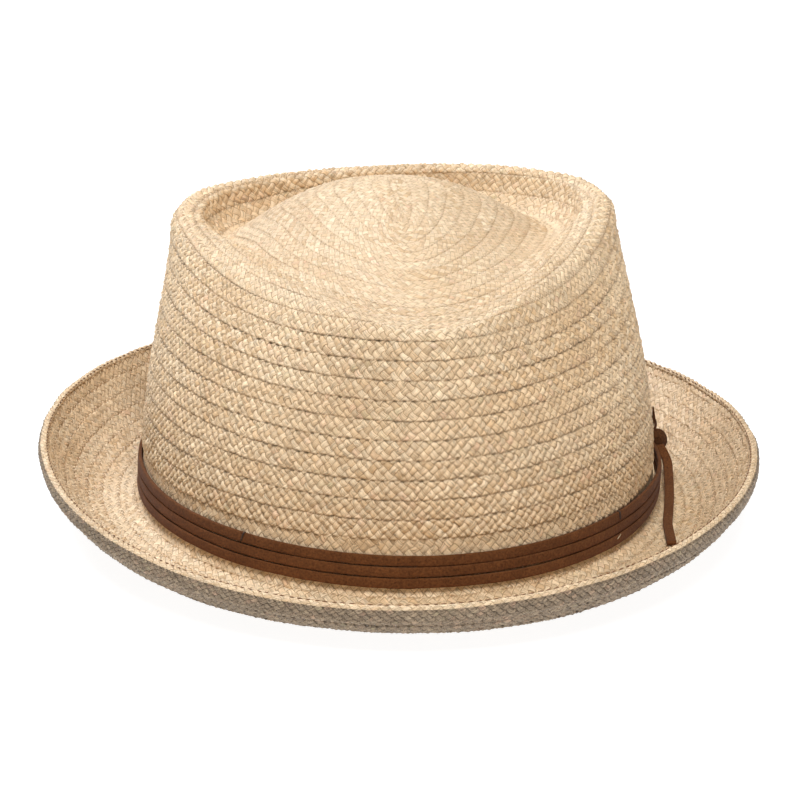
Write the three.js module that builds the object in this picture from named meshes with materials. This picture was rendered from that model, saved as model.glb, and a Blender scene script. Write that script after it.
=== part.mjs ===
// A porkpie hat of natural straw, all in millimetres, +Z up, the front of the hat towards -Y
// and the wearer's left towards +X. Plaited straw is sewn round and round in a spiral:
// over the crown's dome, down its wall and out across the brim, whose edge row is folded double.
// Three flat suede laces lie edge to edge round the foot of the crown and meet in a knot
// on the wearer's left, from which one lace end hangs down and lies along the brim.
// "turn" is the angle round the hat: 0 at the front, 90 at the wearer's left, 180 at the back.
import * as THREE from "three";
import { mergeVertices } from "three/addons/utils/BufferGeometryUtils.js";

// Overall sizes
const crownWidth = 170;
const crownLength = 202;
const crownHeight = 94.7;
const strawWall = 2;
const brimWidthSide = 33.8;
const brimWidthFront = 46.3;
const rimLift = 19.8;
const rimSideLift = 2.6;
const rimTwist = 1.6;
const rimFold = 1.5;
const ridgeRoll = 6;
const ridgeTilt = 4.6;
const crestSide = 11;
const crestBack = 4.5;
const crestFall = 3.6;
const tipLean = 5;

// The dome in the middle of the crown's top, and how much gentler it is towards the wearer's left
const domeHeight = 102;
const domeBack = 30;
const domeFall = 2.2;
const leftValleyWidth = 4;
const leftDomeSoftness = 0.25;

// Laces, knot and the loose end
const laceWide = 3.2;
const laceThick = 1.3;
const laceGap = 0.3;
const laceFoot = 6.1;
const knotTurn = 100;
const knotReach = 26;
const knotSize = 3.5;

// Mesh fineness: steps round the hat
const stepsRound = 72;

// One row per section of the crown, from the front tip to the middle of the back.
// side, ahead: the ridge's corner, as shares of half the crown's width and length.
// high: its height, valleyDrop: how far the valley lies under it, as shares of crownHeight.
// valleyIn: how far inside the ridge the valley lies, as a share of half the crown's width.
// wallIn, wallHigh: where the wall starts to lean in, as shares of its inset and its height.
// soft: how slowly the dome rises out of the valley.
const crownSections = [
  { turn: 0, side: 0, ahead: 0.837, high: 0.887, valleyIn: 0.106, valleyDrop: 0, wallIn: 0.2, wallHigh: 0.5, soft: 1.5 },
  { turn: 15, side: 0.194, ahead: 0.757, high: 0.893, valleyIn: 0.118, valleyDrop: 0.002, wallIn: 0.18, wallHigh: 0.5, soft: 1.45 },
  { turn: 30, side: 0.347, ahead: 0.599, high: 0.908, valleyIn: 0.129, valleyDrop: 0.008, wallIn: 0.14, wallHigh: 0.52, soft: 1.4 },
  { turn: 45, side: 0.465, ahead: 0.436, high: 0.925, valleyIn: 0.141, valleyDrop: 0.019, wallIn: 0.1, wallHigh: 0.54, soft: 1.35 },
  { turn: 60, side: 0.571, ahead: 0.277, high: 0.943, valleyIn: 0.153, valleyDrop: 0.035, wallIn: 0.06, wallHigh: 0.56, soft: 1.3 },
  { turn: 75, side: 0.671, ahead: 0.119, high: 0.961, valleyIn: 0.165, valleyDrop: 0.058, wallIn: 0.03, wallHigh: 0.58, soft: 1.25 },
  { turn: 90, side: 0.759, ahead: -0.045, high: 0.977, valleyIn: 0.176, valleyDrop: 0.084, wallIn: 0, wallHigh: 0.6, soft: 1.15 },
  { turn: 105, side: 0.835, ahead: -0.228, high: 0.989, valleyIn: 0.188, valleyDrop: 0.111, wallIn: 0, wallHigh: 0.6, soft: 1.1 },
  { turn: 120, side: 0.865, ahead: -0.426, high: 0.998, valleyIn: 0.2, valleyDrop: 0.132, wallIn: 0, wallHigh: 0.58, soft: 1.1 },
  { turn: 135, side: 0.776, ahead: -0.663, high: 1, valleyIn: 0.212, valleyDrop: 0.143, wallIn: 0.05, wallHigh: 0.56, soft: 1.1 },
  { turn: 150, side: 0.529, ahead: -0.792, high: 1, valleyIn: 0.2, valleyDrop: 0.148, wallIn: 0.1, wallHigh: 0.55, soft: 1.15 },
  { turn: 165, side: 0.265, ahead: -0.847, high: 1, valleyIn: 0.188, valleyDrop: 0.148, wallIn: 0.12, wallHigh: 0.55, soft: 1.15 },
  { turn: 180, side: 0, ahead: -0.861, high: 1, valleyIn: 0.188, valleyDrop: 0.148, wallIn: 0.12, wallHigh: 0.55, soft: 1.15 },
];

// One row per fold of the brim, from the crown out to the rim.
// out: share of the brim's width, lift: share of the rim's height,
// thick: share of strawWall, which grows at the folded edge row and rounds off at the rim.
const brimFolds = [
  { out: 0, lift: 0, thick: 1 },
  { out: 0.14, lift: 0, thick: 1 },
  { out: 0.27, lift: 0, thick: 1 },
  { out: 0.42, lift: 0.042, thick: 1 },
  { out: 0.57, lift: 0.169, thick: 1 },
  { out: 0.71, lift: 0.363, thick: 1 },
  { out: 0.84, lift: 0.61, thick: 1 },
  { out: 0.88, lift: 0.698, thick: rimFold },
  { out: 0.985, lift: 0.96, thick: rimFold },
  { out: 1, lift: 1, thick: 0.7 },
];

// The loose end's middle line: ahead and side as shares of half the crown's length and width,
// high in shares of crownHeight, from the knot to the cut end.
const tailBends = [
  { side: 1.071, ahead: -0.143, high: 0.086 },
  { side: 1.075, ahead: -0.06, high: 0.06 },
  { side: 1.058, ahead: 0.08, high: 0.041 },
  { side: 1.033, ahead: 0.248, high: 0.034 },
  { side: 1.012, ahead: 0.376, high: 0.034 },
  { side: 0.999, ahead: 0.555, high: 0.038 },
];

const degrees = Math.PI / 180;
const clamp = (v, low, high) => Math.min(high, Math.max(low, v));
const add = (p, q, k = 1) => p.map((v, i) => v + k * q[i]);
const mix = (p, q, k) => p.map((v, i) => v + k * (q[i] - v));
const size = (p) => Math.hypot(...p);
const unit = (p) => p.map((v) => v / (size(p) || 1));
const cross = (p, q) => [
  p[1] * q[2] - p[2] * q[1],
  p[2] * q[0] - p[0] * q[2],
  p[0] * q[1] - p[1] * q[0],
];

// A smooth curve through four evenly spaced values, read between the middle two.
function smooth(a, b, c, d, f) {
  return 0.5 * (2 * b + (c - a) * f + (2 * a - 5 * b + 4 * c - d) * f * f + (3 * b - a - 3 * c + d) * f ** 3);
}

// One column of the crown's table at any turn. The hat's two sides mirror each other.
function section(column, turn) {
  const whole = ((turn % 360) + 360) % 360;
  const mirrored = whole > 180;
  const odd = column === "side";
  const step = crownSections[1].turn;
  const last = crownSections.length - 1;
  const place = (mirrored ? 360 - whole : whole) / step;
  const i = Math.min(Math.floor(place), last - 1);
  const value = (k) => {
    if (k < 0) return (odd ? -1 : 1) * crownSections[-k][column];
    if (k > last) return (odd ? -1 : 1) * crownSections[2 * last - k][column];
    return crownSections[k][column];
  };
  const found = smooth(value(i - 1), value(i), value(i + 1), value(i + 2), place - i);
  return odd && mirrored ? -found : found;
}

// A bend from a to c that leaves a towards b and arrives at c from b.
function bend(a, b, c, f) {
  return a.map((v, i) => (1 - f) ** 2 * v + 2 * f * (1 - f) * b[i] + f * f * c[i]);
}

// The guiding points of one crown section: foot, lean, wall's top, ridge corner, valley side,
// valley, and how the dome rises.
function guide(turn) {
  const sine = Math.sin(turn * degrees);
  const cosine = Math.cos(turn * degrees);
  const left = ((1 + sine) / 2) ** 2;
  const lean = tipLean * Math.max(0, cosine) ** 2;
  const foot = [(crownWidth / 2) * sine, (-crownLength / 2) * cosine, 0];
  const ridgeX = (crownWidth / 2) * section("side", turn) + lean;
  // The ridge lies lower towards the wearer's right, but not at the front tip.
  const rightShare = Math.min(1, Math.max(0, (0.235 * crownWidth - ridgeX) / (0.706 * crownWidth)));
  const lower = ridgeTilt * rightShare ** 1.2 * (1 - Math.max(0, cosine) ** 2);
  const ridge = [
    ridgeX,
    (-crownLength / 2) * section("ahead", turn),
    crownHeight * section("high", turn) - lower,
  ];
  const valleyIn = (crownWidth / 2) * section("valleyIn", turn) + leftValleyWidth * left;
  const tableDrop = crownHeight * section("valleyDrop", turn);
  const kept = Math.min(1, Math.max(0, 1 + 2 * cosine));
  const drop = Math.max(tableDrop - lower * kept, 0.45 * tableDrop);
  const valleyZ = ridge[2] - drop;
  const inwards = unit([-ridge[0], domeBack - ridge[1], 0]);
  const valley = [...add(ridge, inwards, valleyIn).slice(0, 2), valleyZ];
  // Away from the tip the rolled crest grows broad before it drops into the valley.
  const begun = Math.min(1, Math.max(0, (section("valleyDrop", turn) - 0.004) / 0.036));
  const crest = begun * begun * (3 - 2 * begun);
  const side = [...add(ridge, inwards, (0.4 + 0.35 * crest * sine ** 2) * valleyIn).slice(0, 2), valleyZ];
  const wallIn = section("wallIn", turn);
  const wallHigh = section("wallHigh", turn);
  const knee = [mix(foot, ridge, wallIn)[0], mix(foot, ridge, wallIn)[1], ridge[2] * wallHigh];
  const top = add(ridge, unit(add(knee, ridge, -1)), ridgeRoll);
  const fall = add(side, ridge, -1);
  const narrow = add(ridge, unit(fall), Math.min(ridgeRoll, 0.5 * size(fall)));
  const broad = add(ridge, inwards, mix([crestBack], [crestSide], sine ** 2)[0]);
  broad[2] -= Math.min(crestFall, 0.45 * drop);
  const inner = mix(narrow, broad, crest);
  const soft = section("soft", turn) + leftDomeSoftness * left;
  return { foot, knee, top, ridge, inner, side, valley, soft };
}

// The outside of the crown at a turn: wall, rolled ridge, valley and dome, foot to middle.
function crownLine(turn) {
  const g = guide(turn);
  const line = [];
  for (const f of [0, 0.2, 0.4, 0.6, 0.8, 1]) line.push(bend(g.foot, g.knee, g.top, f));
  for (const f of [0.25, 0.5, 0.75, 1]) line.push(bend(g.top, g.ridge, g.inner, f));
  for (const f of [0.5, 1]) line.push(bend(g.inner, g.side, g.valley, f));
  for (const q of [0.12, 0.28, 0.46, 0.64, 0.82]) {
    const rise = 1 - (1 - q ** g.soft) ** domeFall;
    const flat = mix(g.valley, [0, domeBack, 0], q);
    line.push([flat[0], flat[1], g.valley[2] + (domeHeight - g.valley[2]) * rise]);
  }
  return line;
}

// Turns rings of points into one closed body. Rings are joined each to the next, and the
// first and last either join each other or close on the two given middle points.
function bodyOf(rings, startPoint, endPoint) {
  const n = rings[0].length;
  const corners = rings.flat();
  const faces = [];
  const ringCount = startPoint ? rings.length - 1 : rings.length;
  for (let k = 0; k < ringCount; k += 1) {
    const next = (k + 1) % rings.length;
    for (let i = 0; i < n; i += 1) {
      const j = (i + 1) % n;
      const a = k * n + i;
      const b = k * n + j;
      const c = next * n + j;
      const d = next * n + i;
      faces.push(a, b, c, a, c, d);
    }
  }
  if (startPoint) {
    const first = corners.push(startPoint) - 1;
    const last = corners.push(endPoint) - 1;
    const base = (rings.length - 1) * n;
    for (let i = 0; i < n; i += 1) {
      const j = (i + 1) % n;
      faces.push(first, j, i, last, base + i, base + j);
    }
  }
  return solid(corners, faces);
}

// A geometry with all faces turned outwards: if the enclosed volume is negative, all are flipped.
function solid(corners, faces) {
  let volume = 0;
  for (let k = 0; k < faces.length; k += 3) {
    const [p, q, r] = [corners[faces[k]], corners[faces[k + 1]], corners[faces[k + 2]]];
    const c = cross(q, r);
    volume += p[0] * c[0] + p[1] * c[1] + p[2] * c[2];
  }
  if (volume < 0) {
    for (let k = 0; k < faces.length; k += 3) {
      [faces[k + 1], faces[k + 2]] = [faces[k + 2], faces[k + 1]];
    }
  }
  const geometry = new THREE.BufferGeometry();
  geometry.setAttribute("position", new THREE.Float32BufferAttribute(corners.flat(), 3));
  geometry.setIndex(faces);
  geometry.computeVertexNormals();
  return geometry;
}

const turns = Array.from({ length: stepsRound }, (_, i) => (360 * i) / stepsRound);

// The crown: the outside grid, and the same grid moved inwards by the straw's thickness.
function crown() {
  const outer = turns.map(crownLine);
  const rows = outer[0].length;
  const middle = [0, domeBack, domeHeight];
  const at = (i, k) => (k < rows ? outer[(i + stepsRound) % stepsRound][k] : middle);
  const inner = turns.map((_, i) =>
    outer[i].map((p, k) => {
      const round = add(at(i + 1, k), at(i - 1, k), -1);
      const up = add(at(i, k + 1), at(i, Math.max(0, k - 1)), -1);
      const out = unit(cross(round, up));
      if (k === 0) return add(p, unit([out[0], out[1], 0]), -strawWall);
      return add(p, out, -strawWall);
    }),
  );
  const ring = (grid, k) => grid.map((line) => line[k]);
  const rings = [];
  for (let k = rows - 1; k >= 0; k -= 1) rings.push(ring(outer, k));
  for (let k = 0; k < rows; k += 1) rings.push(ring(inner, k));
  return bodyOf(rings, middle, [middle[0], middle[1], middle[2] - strawWall]);
}

// The rim's middle line: an oval that rises at the sides and is a little twisted.
function rimAt(turn) {
  const angle = turn * degrees;
  const lift = rimLift - rimSideLift * Math.cos(2 * angle) + rimTwist * Math.sin(2 * angle);
  return [
    (crownWidth / 2 + brimWidthSide) * Math.sin(angle),
    (-crownLength / 2 - brimWidthFront) * Math.cos(angle),
    lift,
  ];
}

// The brim: its section's underside and top, swept round the crown's foot.
function brim() {
  const sections = turns.map((turn) => {
    const foot = guide(turn).foot;
    const away = unit([foot[0], foot[1], 0]);
    const start = add(foot, away, laceGap);
    const rim = rimAt(turn);
    const reach = Math.hypot(rim[0] - start[0], rim[1] - start[1]);
    const under = brimFolds.map((fold) => {
      const flat = mix(start, rim, fold.out);
      return [flat[0], flat[1], (rim[2] - strawWall / 2) * fold.lift];
    });
    const upper = brimFolds.map((fold, k) => {
      const before = brimFolds[Math.max(0, k - 1)];
      const after = brimFolds[Math.min(brimFolds.length - 1, k + 1)];
      const run = (after.out - before.out) * reach;
      const rise = (after.lift - before.lift) * (rim[2] - strawWall / 2);
      const slope = Math.atan2(rise, run);
      const outward = unit([rim[0] - start[0], rim[1] - start[1], 0]);
      const normal = [-Math.sin(slope) * outward[0], -Math.sin(slope) * outward[1], Math.cos(slope)];
      return add(under[k], normal, strawWall * fold.thick);
    });
    return [...under, ...upper.reverse()];
  });
  const rings = sections[0].map((_, k) => sections.map((line) => line[k]));
  return bodyOf(rings);
}

// A point on the outside of the crown's wall at a height, and the way it faces.
function wallAt(turn, height) {
  const at = (angle) => {
    const g = guide(angle);
    let low = 0;
    let high = 1;
    for (let k = 0; k < 30; k += 1) {
      const f = (low + high) / 2;
      if (bend(g.foot, g.knee, g.top, f)[2] < height) low = f;
      else high = f;
    }
    return { point: bend(g.foot, g.knee, g.top, low), above: bend(g.foot, g.knee, g.top, low + 0.02) };
  };
  const here = at(turn);
  const round = add(at(turn + 1).point, at(turn - 1).point, -1);
  return { point: here.point, out: unit(cross(round, add(here.above, here.point, -1))) };
}

// How strongly the laces are drawn together at a turn: 1 in the knot and 0 away from it.
function gathered(turn) {
  const away = (turn - knotTurn) / knotReach;
  return Math.exp(-away * away);
}

// One lace round the crown. number 0 is the lowest of the three.
function lace(number) {
  const places = Array.from({ length: stepsRound * 2 }, (_, i) => (180 * i) / stepsRound);
  const pitch = laceWide + laceGap;
  const middle = laceFoot + 1.5 * pitch;
  const lines = places.map((turn) => {
    const pull = gathered(turn);
    const squeeze = 1 - 0.45 * pull;
    const height = middle + (number - 1) * pitch * squeeze;
    const wide = laceWide - (1 - squeeze) * pitch;
    const wall = wallAt(turn, height);
    const start = laceGap + 0.9 * pull;
    const up = unit(cross(wall.out, [wall.out[1], -wall.out[0], 0])).map((v) => -v);
    const rise = up[2] < 0 ? up.map((v) => -v) : up;
    const corner = (across, out) => add(add(wall.point, wall.out, start + out * laceThick), rise, across * wide);
    return [
      corner(-0.42, 0),
      corner(-0.5, 0.15),
      corner(-0.5, 0.8),
      corner(-0.4, 1),
      corner(0.4, 1),
      corner(0.5, 0.8),
      corner(0.5, 0.15),
      corner(0.42, 0),
    ];
  });
  const rings = lines[0].map((_, k) => lines.map((line) => line[k]));
  return bodyOf(rings);
}

// A rounded lump with its own three radii, leaning by an angle about the vertical.
function lump(middle, radii, angle) {
  const around = 20;
  const up = 10;
  const rings = [];
  const place = (theta, phi) => {
    const x = radii[0] * Math.cos(theta) * Math.sin(phi);
    const y = radii[1] * Math.sin(theta) * Math.sin(phi);
    const z = radii[2] * Math.cos(phi);
    const c = Math.cos(angle);
    const s = Math.sin(angle);
    return [middle[0] + c * x - s * y, middle[1] + s * x + c * y, middle[2] + z];
  };
  for (let k = 1; k < up; k += 1) {
    const phi = (Math.PI * k) / up;
    rings.push(Array.from({ length: around }, (_, i) => place((2 * Math.PI * i) / around, phi)));
  }
  return bodyOf(rings, place(0, 0), place(0, Math.PI));
}

// The knot: the lace wrapped over the gathered laces, seen as one rounded turn.
function knot() {
  const wall = wallAt(knotTurn, laceFoot + 1.5 * (laceWide + laceGap) + 1.2);
  const laceFace = laceGap + 0.9 + laceThick;
  const middle = add(wall.point, wall.out, laceFace + laceGap + knotSize * 0.75);
  return lump(middle, [knotSize * 0.75, knotSize, knotSize * 1.05], Math.atan2(wall.out[1], wall.out[0]));
}

// The smaller turn of the same lace, just behind and above the knot.
function knotTurnBack() {
  const turn = knotTurn + 5.2;
  const wall = wallAt(turn, laceFoot + 1.5 * (laceWide + laceGap) + 3.6);
  const laceFace = laceGap + 0.9 + laceThick;
  const middle = add(wall.point, wall.out, laceFace + laceGap + knotSize * 0.42);
  return lump(middle, [knotSize * 0.42, knotSize * 0.8, knotSize * 0.7], Math.atan2(wall.out[1], wall.out[0]));
}

// The loose end: a flat lace along a smooth line from the knot, lying on the brim.
function tail() {
  const spots = tailBends.map((row) => [
    (row.side * crownWidth) / 2,
    (-row.ahead * crownLength) / 2,
    row.high * crownHeight,
  ]);
  const line = new THREE.CatmullRomCurve3(spots.map((p) => new THREE.Vector3(...p)), false, "centripetal");
  const count = 24;
  const rings = [];
  for (let k = 0; k <= count; k += 1) {
    const p = line.getPointAt(k / count).toArray();
    const along = line.getTangentAt(k / count).toArray();
    const flat = clamp(k / 7, 0, 1);
    const faceUp = unit([0.55 * (1 - flat), 0, 0.2 + 0.8 * flat]);
    const across = unit(cross(along, faceUp));
    const up = unit(cross(across, along));
    const corner = (a, b) => add(add(p, across, a * laceWide), up, b * laceThick);
    rings.push([
      corner(-0.5, -0.35),
      corner(-0.4, -0.5),
      corner(0.4, -0.5),
      corner(0.5, -0.35),
      corner(0.5, 0.35),
      corner(0.4, 0.5),
      corner(-0.4, 0.5),
      corner(-0.5, 0.35),
    ]);
  }
  const first = line.getPointAt(0).toArray();
  const last = line.getPointAt(1).toArray();
  return bodyOf(rings, first, last);
}

const straw = new THREE.MeshStandardMaterial({ color: 0xd9bf96, roughness: 0.8, metalness: 0 });
const suede = new THREE.MeshStandardMaterial({ color: 0x5a3820, roughness: 0.9, metalness: 0 });

const hat = new THREE.Group();
function piece(name, geometry, material) {
  const mesh = new THREE.Mesh(mergeVertices(geometry), material);
  mesh.name = name;
  hat.add(mesh);
}

piece("crown", crown(), straw);
piece("brim", brim(), straw);
piece("lace_bottom", lace(0), suede);
piece("lace_middle", lace(1), suede);
piece("lace_top", lace(2), suede);
piece("knot", knot(), suede);
piece("knot_turn", knotTurnBack(), suede);
piece("lace_end", tail(), suede);

export default hat;
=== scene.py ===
# %% [markdown]
# A porkpie hat of natural straw. A long flat plait is sewn round and round in a spiral, from the
# middle of the crown's top, over its ridge, down the wall and out across the brim. The brim's edge
# row is folded over the rim. Three flat suede laces lie round the foot of the crown and end in a
# knot with one loose end.
# The frame gives the sizes and the places. Here the plain walls are exchanged for the sewn plait.

# %% Load the frame
import math

import bpy
import numpy as np
from mathutils import Matrix, Vector


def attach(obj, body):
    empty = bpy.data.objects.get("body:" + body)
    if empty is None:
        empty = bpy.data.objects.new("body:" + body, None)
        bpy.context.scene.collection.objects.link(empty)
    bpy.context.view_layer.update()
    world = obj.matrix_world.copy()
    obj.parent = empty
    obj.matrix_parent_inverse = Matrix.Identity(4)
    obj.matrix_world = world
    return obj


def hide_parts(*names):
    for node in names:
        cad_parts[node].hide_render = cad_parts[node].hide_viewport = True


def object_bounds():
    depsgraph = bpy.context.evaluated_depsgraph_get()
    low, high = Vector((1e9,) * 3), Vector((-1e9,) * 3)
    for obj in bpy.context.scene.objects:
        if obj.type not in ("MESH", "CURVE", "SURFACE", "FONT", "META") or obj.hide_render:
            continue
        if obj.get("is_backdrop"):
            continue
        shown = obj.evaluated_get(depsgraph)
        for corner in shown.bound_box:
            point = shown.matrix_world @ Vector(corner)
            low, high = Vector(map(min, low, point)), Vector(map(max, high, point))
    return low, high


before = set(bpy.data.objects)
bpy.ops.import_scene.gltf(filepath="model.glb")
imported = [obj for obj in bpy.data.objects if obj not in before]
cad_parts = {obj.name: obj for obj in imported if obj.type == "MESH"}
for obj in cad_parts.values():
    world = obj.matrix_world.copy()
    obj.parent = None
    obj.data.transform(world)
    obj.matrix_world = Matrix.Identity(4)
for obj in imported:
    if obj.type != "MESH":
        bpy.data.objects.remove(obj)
cad_low, cad_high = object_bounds()
MM = 0.001
print("frame nodes:", sorted(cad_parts))

# %% [markdown]
# The camera looks at the hat's front from a little above, a few degrees to the wearer's right, and
# from far enough to flatten it, as a product lens does. The frame is turned by less than a degree,
# as if the camera leaned.

# %% Camera
ELEVATION = math.radians(18.3)
SIDEWAYS = math.radians(3.5)
LEAN = 0.011
DISTANCE = 1400
PIXELS_PER_MM = 2.999
SENSOR = 36
PICTURE_PIXELS = 800
AIM_ACROSS = 0.5
AIM_UP = 32.6

right = Vector((math.cos(SIDEWAYS), -math.sin(SIDEWAYS), 0))
level = Vector((math.sin(SIDEWAYS), math.cos(SIDEWAYS), 0))
forward = level * math.cos(ELEVATION) - Vector((0, 0, 1)) * math.sin(ELEVATION)
upward = right.cross(forward)
aim = right * AIM_ACROSS + upward * AIM_UP
camera_data = bpy.data.cameras.new("camera")
camera_data.sensor_width = SENSOR
camera_data.lens = PIXELS_PER_MM * DISTANCE * SENSOR / PICTURE_PIXELS
camera_data.clip_end = 20
camera = bpy.data.objects.new("camera", camera_data)
bpy.context.collection.objects.link(camera)
turned_right = right * math.cos(LEAN) + upward * math.sin(LEAN)
turned_up = upward * math.cos(LEAN) - right * math.sin(LEAN)
camera.matrix_world = Matrix.Translation((aim - forward * DISTANCE) * MM) @ Matrix(
    (turned_right, turned_up, -forward)
).transposed().to_4x4()
bpy.context.scene.camera = camera
print("lens %.1f mm" % camera_data.lens)

# %% [markdown]
# Every piece of the hat follows one surface: the outside of the straw from the rim to the middle of
# the top. A plain way to model it would be sculpting or a subdivided cage. A table of sections
# keeps it exact instead: one row for each 15 degrees round the hat, 0 at the front and 180 at the
# back, with lengths as shares of the hat's own sizes, and smooth curves between the rows.

# %% The hat's sizes and sections
CROWN_WIDTH = 170
CROWN_LENGTH = 202
CROWN_HEIGHT = 94.7
STRAW_WALL = 2
BRIM_SIDE = 33.8
BRIM_FRONT = 46.3
RIM_LIFT = 19.8
RIM_SIDE_LIFT = 2.6
RIM_TWIST = 1.6
RIDGE_ROLL = 6
TIP_LEAN = 5
DOME_HEIGHT = 102
DOME_BACK = 30
DOME_FALL = 2.2
LEFT_VALLEY = 4
LEFT_SOFTNESS = 0.25
LEVEL_BRIM = 0.27
INNER_STEEP = 0.4
CREST_SIDE = 11
CREST_BACK = 4.5
CREST_FALL = 3.6
SIDE_STEEP = 0.35
FALL_SHARE = 0.45
RIDGE_TILT = 4.6
TILT_FROM = 0.235
TILT_OVER = 0.706
FILLET = 5

SECTION_STEP = 15
COLUMNS = "side ahead high valley_in valley_drop wall_in wall_high soft".split()
SECTIONS = np.array(
    [
        [0, 0.837, 0.887, 0.106, 0, 0.2, 0.5, 1.5],
        [0.194, 0.757, 0.893, 0.118, 0.002, 0.18, 0.5, 1.45],
        [0.347, 0.599, 0.908, 0.129, 0.008, 0.14, 0.52, 1.4],
        [0.465, 0.436, 0.925, 0.141, 0.019, 0.1, 0.54, 1.35],
        [0.571, 0.277, 0.943, 0.153, 0.035, 0.06, 0.56, 1.3],
        [0.671, 0.119, 0.961, 0.165, 0.058, 0.03, 0.58, 1.25],
        [0.759, -0.045, 0.977, 0.176, 0.084, 0, 0.6, 1.15],
        [0.835, -0.228, 0.989, 0.188, 0.111, 0, 0.6, 1.1],
        [0.865, -0.426, 0.998, 0.2, 0.132, 0, 0.58, 1.1],
        [0.776, -0.663, 1, 0.212, 0.143, 0.05, 0.56, 1.1],
        [0.529, -0.792, 1, 0.2, 0.148, 0.1, 0.55, 1.15],
        [0.265, -0.847, 1, 0.188, 0.148, 0.12, 0.55, 1.15],
        [0, -0.861, 1, 0.188, 0.148, 0.12, 0.55, 1.15],
    ]
)


def through(a, b, c, d, f):
    """A cubic from b to c at the share f of the way, whose slope is (c-a)/2 at b and (d-b)/2 at c."""
    square = (2 * a - 5 * b + 4 * c - d) * f**2
    cube = (3 * b - a - 3 * c + d) * f**3
    return 0.5 * (2 * b + (c - a) * f + square + cube)


def column(name, turn):
    """One column of the table at any turn in degrees: a cubic through the rows before and after,
    mirrored past the back, and with its sign changed there where it is a sideways place."""
    odd = -1.0 if name == "side" else 1.0
    rows = SECTIONS[:, COLUMNS.index(name)]
    rows = np.concatenate([[odd * rows[1]], rows, [odd * rows[-2]]])
    whole = np.mod(turn, 360)
    mirrored = whole > 180
    place = np.where(mirrored, 360 - whole, whole) / SECTION_STEP
    i = np.minimum(place.astype(int), len(SECTIONS) - 2)
    f = place - i
    a, b, c, d = (rows[i + k] for k in range(4))
    found = through(a, b, c, d, f)
    return np.where(mirrored, odd * found, found)


def unit(vectors):
    """Vectors divided by their own lengths."""
    return vectors / np.maximum(np.linalg.norm(vectors, axis=-1, keepdims=True), 1e-9)


def closed(rows):
    """A ring's rows with the first one again at the end."""
    return np.append(rows, rows[:1], 0)


def length_along(line):
    """The length along a line at each of its points."""
    return np.concatenate([[0], np.cumsum(np.linalg.norm(np.diff(line, axis=0), axis=1))])


def read_at(wanted, known, table):
    """Every column of a table, read at the wanted values of a measure known for its rows."""
    return np.stack([np.interp(wanted, known, table[:, k]) for k in range(table.shape[1])], -1)


def bend(a, b, c, shares):
    """A quadratic curve that leaves a towards b and arrives at c from b, at each share of the way.
    Points are (turns, 3); the answer is (turns, shares, 3)."""
    f = shares[None, :, None]
    a, b, c = a[:, None], b[:, None], c[:, None]
    return (1 - f) ** 2 * a + 2 * f * (1 - f) * b + f**2 * c


def guides(turn):
    """The guiding points of the crown's section at each turn: foot of the wall, its knee, the
    rolled ridge's start, corner and end, the valley's side and bottom, and the dome's softness."""
    sine, cosine = np.sin(np.radians(turn)), np.cos(np.radians(turn))
    flat = np.zeros_like(sine)
    left = ((1 + sine) / 2) ** 2
    foot = np.stack([CROWN_WIDTH / 2 * sine, -CROWN_LENGTH / 2 * cosine, flat], -1)
    lean = TIP_LEAN * np.maximum(0, cosine) ** 2
    ridge_x = CROWN_WIDTH / 2 * column("side", turn) + lean
    rightwards = np.clip((TILT_FROM * CROWN_WIDTH - ridge_x) / (TILT_OVER * CROWN_WIDTH), 0, 1)
    lower = RIDGE_TILT * rightwards**1.2 * (1 - np.maximum(0, cosine) ** 2)
    high = CROWN_HEIGHT * column("high", turn) - lower
    ridge = np.stack([ridge_x, -CROWN_LENGTH / 2 * column("ahead", turn), high], -1)
    valley_in = CROWN_WIDTH / 2 * column("valley_in", turn) + LEFT_VALLEY * left
    drop = CROWN_HEIGHT * column("valley_drop", turn)
    drop = np.maximum(drop - lower * np.clip(1 + 2 * cosine, 0, 1), FALL_SHARE * drop)
    valley_z = high - drop
    inwards = unit(np.stack([-ridge[:, 0], DOME_BACK - ridge[:, 1], flat], -1))
    valley = ridge + inwards * valley_in[:, None]
    crest = np.clip((column("valley_drop", turn) - 0.004) / 0.036, 0, 1)
    crest = (crest**2 * (3 - 2 * crest))[:, None]
    aside = (sine**2)[:, None]
    side = ridge + inwards * (INNER_STEEP + SIDE_STEEP * crest * aside) * valley_in[:, None]
    valley[:, 2] = valley_z
    side[:, 2] = valley_z
    knee = foot + (ridge - foot) * column("wall_in", turn)[:, None]
    knee[:, 2] = high * column("wall_high", turn)
    top = ridge + unit(knee - ridge) * RIDGE_ROLL
    fall = side - ridge
    roll = np.minimum(RIDGE_ROLL, 0.5 * np.linalg.norm(fall, axis=-1))
    inner = ridge + unit(fall) * roll[:, None]
    broad = ridge + inwards * (CREST_BACK + (CREST_SIDE - CREST_BACK) * aside)
    broad[:, 2] -= np.minimum(CREST_FALL, FALL_SHARE * drop)
    inner = inner + (broad - inner) * crest
    soft = column("soft", turn) + LEFT_SOFTNESS * left
    return foot, knee, top, ridge, inner, side, valley, soft


TURN_STEP = 0.5
TURNS = np.arange(0, 360, TURN_STEP)
foot, knee, top, ridge, inner, side, valley, soft = guides(TURNS)
print("sections:", len(SECTIONS), "read at", len(TURNS), "turns")

# %% [markdown]
# The top inside the ridge is read as a height over each place in plan, because the rows of plait
# there close in on a short line in the middle, where the sewing begins, and not on the dome's
# highest point. So the dome's own sections are tabled first, and then read along other lines.

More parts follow.
